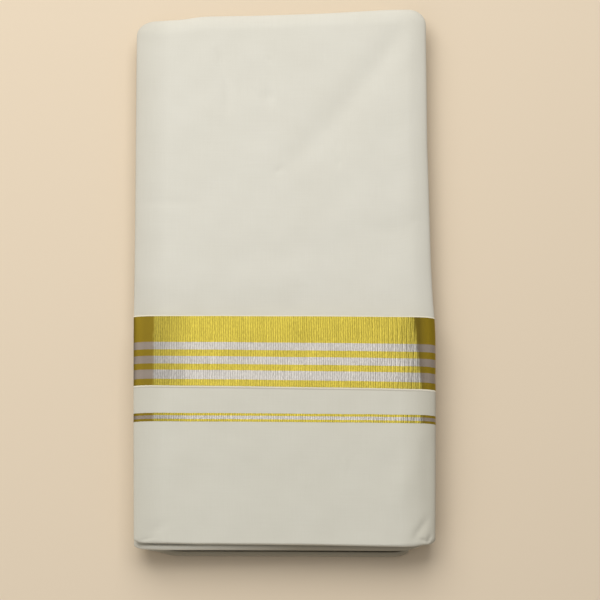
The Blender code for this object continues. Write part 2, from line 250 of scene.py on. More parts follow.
def swelling(x, y):
    """How far pressed cotton lies off level here, in all of its swells together."""
    total = np.zeros_like(x)
    for swell in SWELLS:
        heading = math.radians(swell.heading)
        travelled = x * math.cos(heading) + y * math.sin(heading)
        bends = np.sin(SWELL_BENDS[0] * x + SWELL_BENDS[1] * y + swell.start)
        bent = travelled + SWELL_BEND * swell.length * bends
        total += swell.height * np.sin(2 * math.pi * bent / swell.length + swell.start)
    return total


def crowned(x):
    """How far a face has come down here from its middle, as a share of its crown."""
    return np.minimum(1.0, np.abs(x) / CROWN_HALF) ** 3


def selvage(x):
    """The flap's free edge, which runs a little askew across the packet."""
    return SELVAGE - SELVAGE_SKEW * x


def even(reach):
    """A fold that reaches equally far all along."""
    return lambda places: np.full_like(places, reach)


def read_off(table, key, name):
    """A fold whose reach changes along it, as a table says."""
    return lambda places: column(table, key, name, places)


def fold_line(table, name, reach):
    """The line where the flat of a stretch ends and a fold at the packet's end begins."""
    return lambda x: column(table, "across", name, x) + reach(np.asarray(x))


def grid_lines(first_fold, spaces, last_fold):
    """The lines of a grid one way: each one's place over the flat, from 0 to 1, and how far round
    a fold it lies, from 0 to 1, which is negative round the first fold."""
    before = FOLD_SPACES if first_fold else 0
    after = FOLD_SPACES if last_fold else 0
    flat = np.linspace(0.0, 1.0, spaces + 1)
    place = np.concatenate([np.zeros(before), flat, np.ones(after)])
    first = -np.arange(before, 0, -1) / FOLD_SPACES
    last = np.arange(1, after + 1) / FOLD_SPACES
    return place, np.concatenate([first, np.zeros(spaces + 1), last])


# A stretch laid out as a grid: its points, the packet's outline straight out from them, how far
# round its fold each one lies, and its shares in the bottom and top folds.
Cloth = namedtuple("Cloth", "points outline turn foot head")


def lay_cloth(stretch, across_spaces, along_spaces):
    """A stretch of cloth worked out as a grid of points, round its folds and corners too."""
    place_across, side_turn = grid_lines(stretch.left, across_spaces, stretch.right)
    place_along, end_turn = grid_lines(stretch.foot, along_spaces, stretch.head)
    low, high = float(stretch.low(0.0)), float(stretch.high(0.0))
    nominal = low + (high - low) * place_along
    left_reach, right_reach = stretch.left_reach(nominal), stretch.right_reach(nominal)
    west = column(stretch.sides, "along", "left", nominal) + left_reach
    east = column(stretch.sides, "along", "right", nominal) - right_reach
    x = west[:, None] + (east - west)[:, None] * place_across
    y = stretch.low(x) + (stretch.high(x) - stretch.low(x)) * place_along[:, None]
    height = stretch.top - stretch.crown * crowned(x)
    if stretch.crown:
        height += swelling(x, y) - SWELL_SINK

    # At a corner a point turns down partly sideways and partly endways.
    side, end = np.abs(side_turn)[None, :], np.abs(end_turn)[:, None]
    turn = np.maximum(side, end)
    lean = math.pi / 4 * np.minimum(side, end) / np.maximum(turn, 1e-9)
    lean = np.where(end > side, math.pi / 2 - lean, lean)
    sideways, endways = np.cos(lean), np.sin(lean)
    foot, head = stretch.foot or stretch.left, stretch.head or stretch.left
    sizes = {}
    for name in Fold._fields:
        at_side = np.where(side_turn < 0, getattr(stretch.left, name), getattr(stretch.right, name))
        at_end = np.where(end_turn < 0, getattr(foot, name), getattr(head, name))[:, None]
        sizes[name] = at_side + (at_end - at_side) * endways**2
    side_reach = np.where(side_turn[None, :] < 0, left_reach[:, None], right_reach[:, None])
    end_reach = np.where(end_turn[:, None] < 0, stretch.low_reach(x), stretch.high_reach(x))

    # The fold is one arc from the flat out to its furthest reach, and a smaller one on from there.
    start = np.radians(sizes["start"])
    angle = start + (np.radians(sizes["turn"]) - start) * turn
    under = angle > math.pi / 2
    out = np.where(under, 1.0, (np.sin(angle) - np.sin(start)) / (1 - np.sin(start))) * (turn > 0)
    back = np.where(under, sizes["beyond"] * (1 - np.sin(angle)), 0.0)
    past = np.where(under, stretch.up * sizes["beyond"], (height - sizes["middle"]) / np.cos(start))
    up = np.where(turn > 0, sizes["middle"] + past * np.cos(angle), height)
    reach_x = np.sign(side_turn)[None, :] * sideways
    reach_y = np.sign(end_turn)[:, None] * endways
    points = np.stack([x + reach_x * (side_reach * out - back),
                       y + reach_y * (end_reach * out - back), up], axis=2)
    facing = np.where(turn > 0, np.clip(np.cos(angle), 0, 1) ** 0.5, 1.0)
    points[..., 2] -= sunk(points[..., 0], points[..., 1], stretch.creases) * facing
    outline = np.stack([x + reach_x * side_reach, y + reach_y * end_reach, sizes["middle"]], axis=2)
    towards_foot = np.where(end_turn[:, None] < 0, endways**2, 0.0) * (turn > 0)
    towards_head = np.where(end_turn[:, None] > 0, endways**2, 0.0) * (turn > 0)
    return Cloth(points, outline, turn, towards_foot, towards_head)


def threads(points, from_row):
    """How far each point of a grid lies along the cloth: across it from the middle, and down it
    from one of its rows."""
    across = np.linalg.norm(np.diff(points, axis=1), axis=2)
    across = np.concatenate([np.zeros((len(points), 1)), np.cumsum(across, axis=1)], axis=1)
    across -= across[:, [points.shape[1] // 2]]
    along = np.linalg.norm(np.diff(points, axis=0), axis=2)
    along = np.concatenate([np.zeros((1, points.shape[1])), np.cumsum(along, axis=0)])
    return np.stack([across, along[from_row] - along], axis=2)


def sew_grid(name, points, thread_places, upward=True):
    """A grid of points as a mesh, with its place in the weave as its UV map."""
    grid = bmesh.new()
    rows, columns = points.shape[:2]
    bmesh.ops.create_grid(grid, x_segments=columns - 1, y_segments=rows - 1, size=1)
    if not upward:
        bmesh.ops.reverse_faces(grid, faces=grid.faces[:])
    mesh = bpy.data.meshes.new(name)
    grid.to_mesh(mesh)
    grid.free()
    mesh.vertices.foreach_set("co", points.reshape(-1).astype(np.float32))
    corners = np.empty(len(mesh.loops), dtype=np.int32)
    mesh.loops.foreach_get("vertex_index", corners)
    corner_places = thread_places.reshape(-1, 2)[corners]
    weave = mesh.uv_layers.new(name="weave")
    weave.uv.foreach_set("vector", corner_places.reshape(-1).astype(np.float32))
    mesh.shade_smooth()
    mesh.update()
    return mesh


def add_ply(piece, thickness, offset):
    """Gives a sheet its thickness, inwards from its points (-1) or to both sides of them (0)."""
    ply = piece.modifiers.new("Ply", "SOLIDIFY")
    ply.thickness = thickness
    ply.offset = offset


def place_piece(name, mesh, cloth):
    """Puts a mesh in the scene with its cloth, as one ply thickened inwards."""
    piece = bpy.data.objects.new(name, mesh)
    scene.collection.objects.link(piece)
    mesh.materials.append(cloth)
    add_ply(piece, PLY, -1)
    bpy.ops.object.select_all(action="DESELECT")
    piece.select_set(True)
    bpy.context.view_layer.objects.active = piece
    bpy.ops.object.modifier_apply(modifier="Ply")
    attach(piece, "root")
    return piece


def wire(tree, kind, label, settings=(), **inputs):
    """Adds a node with its settings, and sets or links its inputs, each given by its name, with _
    for a space, or by i and its number."""
    node = tree.nodes.new("ShaderNode" + kind)
    node.label = label
    for setting, value in dict(settings).items():
        setattr(node, setting, value)
    for name, value in inputs.items():
        socket = node.inputs[int(name[1:]) if name[1:].isdigit() else name.replace("_", " ")]
        if isinstance(value, bpy.types.NodeSocket):
            tree.links.new(value, socket)
        else:
            socket.default_value = value
    return node


def reckon(tree, operation, first, second=0.0, third=0.0):
    """A sum worked out on values in a material."""
    node = wire(tree, "Math", operation.lower(), {"operation": operation}, i0=first,
                i1=second, i2=third)
    return node.outputs[0]


def blend(tree, label, share, first, second):
    """One colour turned into another by a share, from none of the second to all of it."""
    node = wire(tree, "Mix", label, {"data_type": "RGBA"}, i0=share, i6=first, i7=second)
    return node.outputs[2]


# A value that changes evenly between two places: where that starts and ends, and what it is before
# and after.
Fade = namedtuple("Fade", "first last before after")


def fading(tree, label, value, fade):
    """A value that changes with another as a fade says."""
    node = wire(tree, "MapRange", label, Value=value, From_Min=fade.first,
                From_Max=fade.last, To_Min=fade.before, To_Max=fade.after)
    return node.outputs[0]


# Unevenness laid along the threads: how many patches there are to a metre across and along the
# cloth, and how finely they are broken up.
Patches = namedtuple("Patches", "across along detail")


def uneven(tree, weave, label, patches):
    """Unevenness in the cloth, about 0.5 on average."""
    sized = wire(tree, "Mapping", label, Vector=weave, Scale=(patches.across, patches.along, 1.0))
    noise = wire(tree, "TexNoise", label, Vector=sized.outputs[0], Scale=1.0,
                 Detail=patches.detail)
    return noise.outputs[0]


def thread_wave(tree, value, period):
    """Rounded threads side by side, period metres apart, as heights from 0 to 1."""
    turns = reckon(tree, "MULTIPLY", value, 2 * math.pi / period)
    return reckon(tree, "MULTIPLY_ADD", reckon(tree, "SINE", turns), 0.5, 0.5)


WARP_PITCH = 0.00042  # cotton threads, a centre to the next
WEFT_PITCH = 0.00046
WARP_SLUBS = Patches(across=1400.0, along=38.0, detail=2.0)  # thicker places in the threads
WEFT_SLUBS = Patches(across=30.0, along=1300.0, detail=2.0)
CLOUDS = Patches(across=26.0, along=19.0, detail=3.0)
SLUB_TONE = 0.55  # how much the slubs change the cotton's tone
CLOUD_TONE = 0.9
TONE = Fade(first=0.55, last=1.45, before=0.0, after=1.0)  # from its shade to its colour
SLUB_RISE = 0.6  # how far the slubs stand up, as a share of a thread
COTTON = (0.710, 0.695, 0.621)
COTTON_SHADE = (0.667, 0.648, 0.569)
COTTON_ROUGHNESS = 0.86
COTTON_FINISH = {"Roughness": COTTON_ROUGHNESS, "Specular IOR Level": 0.25, "Sheen Weight": 0.12,
                 "Sheen Roughness": 0.45}

# How much painted shade darkens the cotton along the packet's folds, where shade falls: at its left
# and right edges, and at its bottom folds, where the second one is left unshaded at its left end.
PaintedShade = namedtuple("PaintedShade", "left right foot")
PAINTED_SHADE_COLOUR = (0.262, 0.225, 0.156)
LEFT_FOLDS = Fade(first=-0.084, last=-0.107, before=0.0, after=1.0)
RIGHT_FOLDS = Fade(first=0.082, last=0.107, before=0.0, after=1.0)
BOTTOM_FOLDS = Fade(first=-0.1985, last=-0.2038, before=0.0, after=1.0)
SECOND_FOLD = Fade(first=-0.070, last=0.010, before=0.0, after=0.91)  # from left to right
LOWEST_FOLD = Fade(first=0.0145, last=0.0115, before=0.0, after=1.0)  # from above down


def weave_cotton(name, colour, shade, shade_at_folds):
    """Plain woven cream cotton: crossing threads with a few thicker slubs, faintly mottled, and
    darkened along the folds by painted shade. Gives the material, its shader, the map of its
    threads, its colour and its height."""
    cloth = bpy.data.materials.new(name)
    cloth.use_nodes = True
    tree = cloth.node_tree
    shader = tree.nodes["Principled BSDF"]
    weave = wire(tree, "UVMap", "Weave", {"uv_map": "weave"}).outputs[0]
    apart = wire(tree, "SeparateXYZ", "Threads", Vector=weave)
    across, along = apart.outputs[0], apart.outputs[1]

    slubs = reckon(tree, "ADD", uneven(tree, weave, "Warp slubs", WARP_SLUBS),
                   uneven(tree, weave, "Weft slubs", WEFT_SLUBS))
    clouds = reckon(tree, "MULTIPLY", uneven(tree, weave, "Clouds", CLOUDS), CLOUD_TONE)
    mottle = reckon(tree, "MULTIPLY_ADD", slubs, SLUB_TONE, clouds)
    dye = blend(tree, "Cotton", fading(tree, "Tone", mottle, TONE), (*shade, 1.0), (*colour, 1.0))

    place = wire(tree, "TexCoord", "Place").outputs["Object"]
    place = wire(tree, "SeparateXYZ", "Place", Vector=place)
    at_left = fading(tree, "Left", place.outputs[0], LEFT_FOLDS._replace(after=shade_at_folds.left))
    at_right = fading(tree, "Right", place.outputs[0], RIGHT_FOLDS._replace(after=shade_at_folds.right))
    at_foot = fading(tree, "Bottom", place.outputs[1], BOTTOM_FOLDS._replace(after=shade_at_folds.foot))
    second_fold = fading(tree, "Second fold", place.outputs[0], SECOND_FOLD)
    lowest_fold = fading(tree, "Lowest fold", place.outputs[2], LOWEST_FOLD)
    at_foot = reckon(tree, "MULTIPLY", at_foot, reckon(tree, "MAXIMUM", second_fold, lowest_fold))
    painted_shade = reckon(tree, "MAXIMUM", at_foot, reckon(tree, "ADD", at_left, at_right))
    # Painted shade: the cotton is darkened along the packet's folds, where shade falls.
    dye = blend(tree, "Handled folds", painted_shade, dye, (*PAINTED_SHADE_COLOUR, 1.0))

    crossed = reckon(tree, "MULTIPLY", thread_wave(tree, across, WARP_PITCH),
                     thread_wave(tree, along, WEFT_PITCH))
    height = reckon(tree, "MULTIPLY_ADD", slubs, SLUB_RISE, crossed)
    for quality, value in COTTON_FINISH.items():
        shader.inputs[quality].default_value = value
    return cloth, shader, weave, dye, height


def raise_weave(tree, shader, height, distance):
    """Lets the light catch on the threads."""
    bump = wire(tree, "Bump", "Threads", Height=height, Distance=distance, Strength=1.0)
    tree.links.new(bump.outputs[0], shader.inputs["Normal"])


# The bands of the border, from the selvage down: where each one ends and what it is woven of,
# except the shadow band, which is a painted shadow.
Band = namedtuple("Band", "end thread")
BROAD_END = 0.0532  # where the zari of the broad border ends
BROAD_SHADOW = 0.0551  # where the painted shadow below it ends
NARROW_START = 0.0731  # where the zari of the narrow one starts
BANDS = (
    Band(end=0.0007, thread="selvage"),
    Band(end=0.0205, thread="gold"),
    Band(end=0.0260, thread="silver"),
    Band(end=0.0310, thread="gold"),
    Band(end=0.0367, thread="silver"),
    Band(end=0.0414, thread="gold"),
    Band(end=0.0482, thread="silver"),
    Band(end=BROAD_END, thread="gold"),
    Band(end=0.0543, thread="selvage"),
    Band(end=BROAD_SHADOW, thread="shadow"),
    Band(end=NARROW_START, thread="cotton"),
    Band(end=0.0748, thread="gold"),
    Band(end=0.0775, thread="silver"),
    Band(end=0.0792, thread="gold"),
)
BORDER_DEPTH = 0.0800  # what the bands are measured out on
# Painted shade: the flap's cotton is a darker copy of the panel's cotton.
FLAP_SHADED_COTTON = (0.655, 0.641, 0.562)
FLAP_SHADED_COTTON_TONE = (0.616, 0.598, 0.515)
THREADS = {
    "gold": (0.440, 0.354, 0.050),
    "silver": (0.424, 0.404, 0.378),
    "selvage": (0.74, 0.70, 0.57),
    # a painted shadow under the broad border's lower selvage line
    "shadow": (0.50, 0.47, 0.40),
    "cotton": FLAP_SHADED_COTTON,
}
ZARI = ("gold", "silver")
WHITE, BLACK = (1.0, 1.0, 1.0), (0.0, 0.0, 0.0)
ASKEW = 0.0102  # how much lower the broad border's last stripe runs for each metre to the right
GOING_ASKEW = Fade(first=0.0, last=BROAD_END, before=0.0, after=-ASKEW)
LESS_ASKEW = Fade(first=BROAD_SHADOW, last=NARROW_START, before=1.0, after=0.3)
UNEVEN_EDGE = Patches(across=520.0, along=60.0, detail=2.0)
EDGE_WAVER = 0.0004  # how far a band's edge strays

# The ribs that run down through the zari, swayed and broken every few millimetres, the fine ribs
# among them, and the short glints where the metal thread turns, all of which also paint highlights
# into the zari's colour.
RIB_PITCH = 0.00160  # from one to the next
RIB_BREAKS = Patches(across=330.0, along=190.0, detail=2.0)
RIB_DRIFT = Patches(across=90.0, along=9.0, detail=2.0)
BREAK_SWAY = 0.0013  # how far a break shifts a rib
DRIFT_SWAY = 0.0022  # and how far it drifts
FINE_RIBS = Patches(across=1400.0, along=40.0, detail=2.0)
FINE_RISE = 0.7  # how far they stand up, as a share of a rib
GLINTS = Patches(across=1300.0, along=420.0, detail=1.0)
RIB_LIGHT = 0.42  # how much painted highlight each of them adds to the zari
FINE_LIGHT = 0.35
GLINT_LIGHT = 0.80
STREAKS = Fade(first=0.45, last=1.15, before=0.72, after=1.30)

# The broad ripples that cross the stripes at a slant before their right end.
RIPPLE_PITCH = 0.0034
RIPPLE_SLANT = 0.07  # how far they lean for each metre down
RIPPLE_DRIFT = 0.0090  # how far they drift, and shift at breaks, with the ribs
RIPPLE_BREAK = 0.0012
RIPPLES_BEGIN = Fade(first=0.055, last=0.088, before=0.0, after=1.0)
RIPPLE_RISE = 1.3  # how far they stand up, as a share of a rib
RIPPLE_SHADE = 0.10  # how much darker they are, as painted shade

# The two lines where the ply is pressed as it turns down at the sides, beyond which the ribs lie
# flat and the metal is darkened by painted shade. The right one slants a little beside the broad
# border.
PRESSED_MIDDLE = 0.0004  # midway between the two lines
PRESSED_LINE = 0.0923  # how far they lie from there
PRESSED_BLUR = 0.0009  # how soft they are, either way
PRESSED_WANDER = 0.0022  # how far they stray where the ribs break
PRESSED_SLANT = 0.090  # how much further right the right one lies for each metre down
# Painted shade: darker gold and silver for the zari turned down beyond the pressed lines.
PRESSED_SHADED_THREADS = {**THREADS, "gold": (0.232, 0.158, 0.008), "silver": (0.263, 0.218, 0.181)}
PRESSED = Fade(first=PRESSED_LINE - PRESSED_BLUR, last=PRESSED_LINE + PRESSED_BLUR, before=1.0,
               after=0.0)

# How light the zari is towards its ends and, beyond the pressed lines, round the sides, as painted
# shade, lighter again nearer the edges as painted light.
TOWARDS_LEFT = Fade(first=-0.064, last=-0.086, before=1.0, after=0.66)
TOWARDS_RIGHT = Fade(first=0.080, last=0.092, before=1.0, after=0.80)
ROUND_LEFT = Fade(first=-0.0985, last=-0.1085, before=1.0, after=1.55)
ROUND_RIGHT = Fade(first=0.0965, last=0.1065, before=0.57, after=1.80)

ZARI_METAL = 0.75
ZARI_ROUGHNESS = 0.42
ZARI_RELIEF = 1.1  # how far its ribs stand up
COTTON_RELIEF = 0.35  # and how far the cotton's threads do beside them
BORDER_RELIEF = 0.00010  # the depth that both are shares of


def band_ramp(tree, label, depth, shown, after):
    """A colour for each band of the border, read off by how far it lies from the selvage."""
    ramp = wire(tree, "ValToRGB", label, Fac=depth)
    ramp.color_ramp.interpolation = "CONSTANT"
    stops = ramp.color_ramp.elements
    stops[0].position = 0.0
    stops[0].color = (*shown(BANDS[0].thread), 1.0)
    stops.remove(stops[1])
    for band, following in zip(BANDS, BANDS[1:]):
        stops.new(band.end / BORDER_DEPTH).color = (*shown(following.thread), 1.0)
    stops.new(BANDS[-1].end / BORDER_DEPTH).color = (*after, 1.0)
    return ramp.outputs[0]


def white_for(threads_shown):
    """White for a band of any of these threads, and black for any other."""
    return lambda thread: WHITE if thread in threads_shown else BLACK


# The flap's cotton gets painted shade along its side folds.
zari_cloth, zari_shader, weave, cotton_colour, cotton_height = weave_cotton(
    "zari_border_cloth", FLAP_SHADED_COTTON, FLAP_SHADED_COTTON_TONE, PaintedShade(left=0.22, right=0.36, foot=0.0))
tree = zari_cloth.node_tree
places = wire(tree, "SeparateXYZ", "Threads", Vector=weave)
across, from_selvage = places.outputs[0], places.outputs[1]

# Which band a place is in, and what that is woven of.
askew = reckon(tree, "MULTIPLY", across, fading(tree, "Askew", from_selvage, GOING_ASKEW))
askew = reckon(tree, "MULTIPLY", askew, fading(tree, "Less askew", from_selvage, LESS_ASKEW))
woven = reckon(tree, "ADD", from_selvage, askew)
stray = reckon(tree, "SUBTRACT", uneven(tree, weave, "Uneven edge", UNEVEN_EDGE), 0.5)
depth = reckon(tree, "MULTIPLY_ADD", stray, EDGE_WAVER, woven)
depth = reckon(tree, "DIVIDE", depth, BORDER_DEPTH)
band_colour = band_ramp(tree, "Bands", depth, THREADS.get, FLAP_SHADED_COTTON)
pressed_shaded_colour = band_ramp(tree, "Pressed bands", depth, PRESSED_SHADED_THREADS.get, FLAP_SHADED_COTTON)
zari_share = band_ramp(tree, "Zari", depth, white_for(ZARI), BLACK)
plain_share = band_ramp(tree, "Plain cotton", depth, white_for(["cotton"]), WHITE)

# The ribs and ripples, as heights, which the pressed lines end.
rib_breaks = uneven(tree, weave, "Rib breaks", RIB_BREAKS)
rib_drift = uneven(tree, weave, "Rib drift", RIB_DRIFT)
swayed = reckon(tree, "MULTIPLY_ADD", rib_breaks, BREAK_SWAY, across)
swayed = reckon(tree, "MULTIPLY_ADD", rib_drift, DRIFT_SWAY, swayed)
ribs = thread_wave(tree, swayed, RIB_PITCH)
glints = uneven(tree, weave, "Glints", GLINTS)
fine_ribs = uneven(tree, weave, "Fine ribs", FINE_RIBS)
slanting = reckon(tree, "MINIMUM", from_selvage, BROAD_END)  # upright below the broad border
off_middle = reckon(tree, "MULTIPLY_ADD", slanting, -PRESSED_SLANT / 2, across)
off_middle = reckon(tree, "ABSOLUTE", reckon(tree, "SUBTRACT", off_middle, PRESSED_MIDDLE))
off_middle = reckon(tree, "MULTIPLY_ADD", slanting, -PRESSED_SLANT / 2, off_middle)
wander = reckon(tree, "SUBTRACT", rib_breaks, 0.5)
off_middle = reckon(tree, "MULTIPLY_ADD", wander, PRESSED_WANDER, off_middle)
pressed = fading(tree, "Pressed sides", off_middle, PRESSED)
slanted = reckon(tree, "MULTIPLY_ADD", from_selvage, RIPPLE_SLANT, across)
slanted = reckon(tree, "MULTIPLY_ADD", rib_drift, RIPPLE_DRIFT, slanted)
slanted = reckon(tree, "MULTIPLY_ADD", rib_breaks, RIPPLE_BREAK, slanted)
ripples = thread_wave(tree, slanted, RIPPLE_PITCH)
ripples = reckon(tree, "MULTIPLY", ripples, fading(tree, "Ripples begin", across, RIPPLES_BEGIN))
ripples = reckon(tree, "MULTIPLY", ripples, pressed)
rib_height = reckon(tree, "MULTIPLY_ADD", fine_ribs, FINE_RISE, ribs)
rib_height = reckon(tree, "MULTIPLY", rib_height, pressed)
rib_height = reckon(tree, "MULTIPLY_ADD", ripples, RIPPLE_RISE, rib_height)

# How light each place is, as painted light and shade: highlights streaked by the ribs and glints,
# and painted shade towards the ends.
glinting = reckon(tree, "MULTIPLY", glints, GLINT_LIGHT)
streaks = reckon(tree, "MULTIPLY_ADD", ribs, RIB_LIGHT, glinting)
streaks = reckon(tree, "MULTIPLY_ADD", fine_ribs, FINE_LIGHT, streaks)
streaks = reckon(tree, "SUBTRACT", fading(tree, "Streaks", streaks, STREAKS), 1.0)
streaks = reckon(tree, "MULTIPLY_ADD", streaks, pressed, 1.0)
end_light = reckon(tree, "MULTIPLY", fading(tree, "Towards the left", across, TOWARDS_LEFT),
                   fading(tree, "Towards the right", across, TOWARDS_RIGHT))
brightness = reckon(tree, "MULTIPLY", streaks, end_light)
brightness = reckon(tree, "MULTIPLY_ADD", ripples, -RIPPLE_SHADE, brightness)
# Painted shade and light round the sides, beyond the pressed lines.
at_right = reckon(tree, "GREATER_THAN", across, 0.0)
right_light = wire(tree, "Mix", "At the right", {"data_type": "FLOAT"}, i0=at_right,
                   i2=1.0, i3=fading(tree, "Round the right", across, ROUND_RIGHT)).outputs[0]
side_light = fading(tree, "Round the left", across, ROUND_LEFT)
side_light = reckon(tree, "MULTIPLY", side_light, right_light)
side_light = reckon(tree, "MULTIPLY", side_light, brightness)

ribbed_zari = wire(tree, "VectorMath", "Ribbed", {"operation": "SCALE"},
                   i0=band_colour, Scale=brightness)
pressed_shaded_zari = wire(tree, "VectorMath", "Pressed", {"operation": "SCALE"},
                    i0=pressed_shaded_colour, Scale=side_light)
zari_colour = blend(tree, "Pressed or ribbed", pressed, pressed_shaded_zari.outputs[0],
                    ribbed_zari.outputs[0])
woven_colour = blend(tree, "Zari or cotton", zari_share, band_colour, zari_colour)
border_colour = blend(tree, "Border or plain", plain_share, woven_colour, cotton_colour)
metal = reckon(tree, "MULTIPLY", zari_share, ZARI_METAL)
roughness = reckon(tree, "MULTIPLY_ADD", zari_share, ZARI_ROUGHNESS - COTTON_ROUGHNESS,
                   COTTON_ROUGHNESS)
tree.links.new(border_colour, zari_shader.inputs["Base Color"])
tree.links.new(metal, zari_shader.inputs["Metallic"])
tree.links.new(roughness, zari_shader.inputs["Roughness"])
relief = reckon(tree, "MULTIPLY", rib_height, zari_share)
cotton_relief = reckon(tree, "MULTIPLY", cotton_height, COTTON_RELIEF)
relief = reckon(tree, "MULTIPLY_ADD", relief, ZARI_RELIEF, cotton_relief)
raise_weave(tree, zari_shader, relief, BORDER_RELIEF)

flap_stretch = Stretch(
    sides=SIDES, low=fold_line(ENDS, "foot", read_off(ENDS, "across", "reach")), high=selvage,
    left_reach=read_off(FLAP_ROLLS, "along", "left"),
    right_reach=read_off(FLAP_ROLLS, "along", "right"),
    low_reach=read_off(ENDS, "across", "reach"), high_reach=even(0.0), left=FLAP_LEFT,
    right=FLAP_RIGHT, foot=FLAP_FOOT, head=None, top=FLAP_TOP, crown=CROWN, creases=FLAP_CREASES,
    up=1)
flap_cloth = lay_cloth(flap_stretch, FLAT_SPACES, FLAP_SPACES)
at_corner = np.clip((np.abs(flap_cloth.points[..., 0]) - DROOP_FROM) / DROOP_RUN, 0.0, 1.0)
at_corner = at_corner * np.sqrt(flap_cloth.foot) * flap_cloth.turn**2
flap_cloth.points[..., 2] -= CORNER_DROOP * at_corner
flap_mesh = sew_grid("border_flap_ply", flap_cloth.points, threads(flap_cloth.points, -1))
flap = place_piece("border_flap_ply", flap_mesh, zari_cloth)
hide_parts("border_flap")


# ------------------------------------------------------------------------------------------------
# Under the flap's free edge lie the edges of its inner plies. The strip was folded lengthwise, so
# they run round inside one another, each with its own selvage, and none is sewn to the next.

PANEL_TOP = 0.0212  # height of the plain panel under them
PANEL_CREASES = (
    Crease(x0=-0.1500, y0=-0.0347, x1=0.1500, y1=-0.0361, depth=0.0022, width=0.0190),
    Crease(x0=0.0889, y0=0.1903, x1=0.0625, y1=0.1492, depth=0.0014, width=0.0100),
    Crease(x0=0.0625, y0=0.1492, x1=0.0346, y1=0.1112, depth=0.0015, width=0.0105),
    Crease(x0=0.0346, y0=0.1112, x1=0.0040, y1=0.0790, depth=0.0010, width=0.0100),
    Crease(x0=0.0120, y0=-0.0230, x1=0.0900, y1=0.0320, depth=0.0008, width=0.0190),
    Crease(x0=-0.1030, y0=0.0520, x1=-0.0620, y1=0.0520, depth=0.0003, width=0.0030),
    Crease(x0=0.0600, y0=0.0300, x1=0.0960, y1=0.0340, depth=0.0003, width=0.0060),
    Crease(x0=-0.0492, y0=0.1690, x1=-0.0422, y1=0.1500, depth=0.0008, width=0.0036),
    Crease(x0=-0.0418, y0=0.1500, x1=-0.0406, y1=0.1230, depth=0.0006, width=0.0038),
    Crease(x0=-0.0118, y0=0.1400, x1=-0.0103, y1=0.1290, depth=0.0009, width=0.0050),
    Crease(x0=-0.0125, y0=0.1640, x1=-0.0095, y1=0.1620, depth=0.0004, width=0.0018),
    Crease(x0=-0.0060, y0=0.0758, x1=-0.0010, y1=0.0780, depth=0.0006, width=0.0020),
    Crease(x0=0.0385, y0=0.0995, x1=0.0393, y1=0.0950, depth=0.0004, width=0.0017),
    Crease(x0=0.0396, y0=0.0845, x1=0.0391, y1=0.0800, depth=0.0004, width=0.0017),
    Crease(x0=0.0920, y0=0.0389, x1=0.0962, y1=0.0393, depth=0.0005, width=0.0018),
    Crease(x0=-0.0400, y0=0.0060, x1=0.0400, y1=0.0160, depth=0.0005, width=0.0120),
)
INNER_ROUNDS = 6  # inner plies, each of which runs all the way round
INNER_PLY = 0.00030  # their thickness
INNER_APART = 0.00042  # how much narrower each one is than the one round it, at each side
INNER_SHARE = 0.55  # how far the outermost is drawn together, as a share of one ply's room
INNER_LIFT = 0.0003  # how far over the panel the lowest lies
INNER_DEPTH = 0.0125  # how far in from the free edge they are carried
INNER_ROWS = 4
INNER_CROWDING = 1.5  # how much closer together the rows lie near that edge
INNER_WAVER = 0.00012  # how far an edge strays, over and over
INNER_WAVES = 61.0  # radians of that to a metre
INNER_OFFSET = 2.1  # and from one ply to the next
INNER_STEPS = (0.0002, -0.0003, 0.0001, -0.0006, -0.0001, -0.0004)  # how far each edge stands out

# The flap's free edge seen end on: its inner side above, and below that the panel it lies on or,
# at the tips, its own curl.
edge = flap_cloth.points[-1]
left_tip, right_tip = int(np.argmin(edge[:, 0])), int(np.argmax(edge[:, 0]))
over = edge[left_tip:right_tip + 1]
edge_x, edge_z = over[:, 0], over[:, 2] - PLY
tip_z = np.interp(edge_x, [edge_x[0], edge_x[-1]], [edge_z[0], edge_z[-1]])
from_tip = np.minimum(edge_x - edge_x[0], edge_x[-1] - edge_x) / FLAP_LEFT.beyond
curl = np.sqrt(1 - (1 - np.clip(from_tip, 0, 1)) ** 2)
panel_z = PANEL_TOP - CROWN * crowned(edge_x)
panel_z += swelling(edge_x, over[:, 1]) - sunk(edge_x, over[:, 1], PANEL_CREASES)
lowest_z = np.where(from_tip < 1, 0.0, panel_z + INNER_LIFT)
under_z = np.maximum(tip_z - FLAP_LEFT.beyond * curl, lowest_z)
middle_z = (edge_z + under_z) / 2
middle_x = (edge_x[0] + edge_x[-1]) / 2
half_width = (edge_x[-1] - edge_x[0]) / 2

rounds, round_threads = [], []
for inner in range(INNER_ROUNDS):
    height_share = 1 - (inner + INNER_SHARE) / INNER_ROUNDS
    drawn_in = PLY + INNER_APART * (inner + 1)
    x = middle_x + (edge_x - middle_x) * (1 - drawn_in / half_width)
    over_z = middle_z + (edge_z - middle_z) * height_share
    below_z = middle_z + (under_z - middle_z) * height_share
    loop_x = np.concatenate([x, x[-2:0:-1], x[:1]])
    loop_z = np.concatenate([over_z, below_z[-2:0:-1], over_z[:1]])
    girth = np.concatenate([[0.0], np.cumsum(np.hypot(np.diff(loop_x), np.diff(loop_z)))])
    rows, row_threads = [], []
    for row in range(INNER_ROWS):
        inward = INNER_DEPTH * (1 - row / (INNER_ROWS - 1)) ** INNER_CROWDING
        loop_y = selvage(loop_x) + INNER_STEPS[inner] - inward
        if row == INNER_ROWS - 1:
            loop_y += INNER_WAVER * np.sin(INNER_WAVES * loop_x + INNER_OFFSET * inner)
        rows.append(np.stack([loop_x, loop_y, loop_z], axis=1))
        from_middle = girth - girth[len(x) // 2]
        row_threads.append(np.stack([from_middle, np.full_like(girth, inward)], axis=1))
    rounds.append(np.array(rows))
    round_threads.append(np.array(row_threads))


